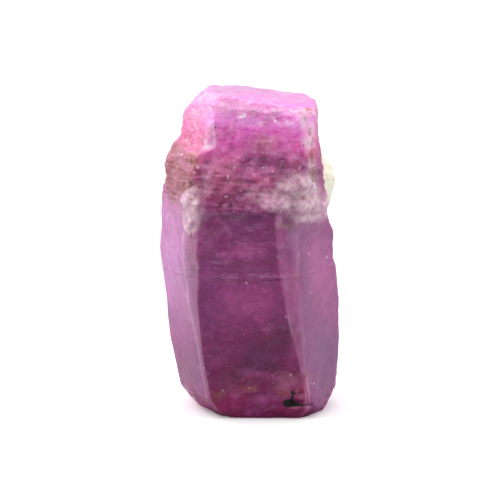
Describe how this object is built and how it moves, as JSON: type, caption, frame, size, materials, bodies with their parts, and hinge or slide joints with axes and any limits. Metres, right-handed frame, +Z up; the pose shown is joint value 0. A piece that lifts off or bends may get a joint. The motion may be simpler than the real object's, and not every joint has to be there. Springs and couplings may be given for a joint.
{
  "type": "raw ruby crystal",
  "caption": "Rough six-sided ruby crystal standing on its flat broken foot, with a pale mineral crust round its upper half.",
  "frame": {"origin": "on the surface the crystal stands on, under the middle of its bounding box", "axes": "+Z up along the crystal's long axis, -Y towards the broad front face, +X to the right as seen from the front"},
  "size_m": [0.0118, 0.0108, 0.0214],
  "materials": {
    "ruby": "rough, translucent, pink to purple"
  },
  "bodies": {
    "root": {"ruby_crystal": "ruby"}
  },
  "joints": []
}
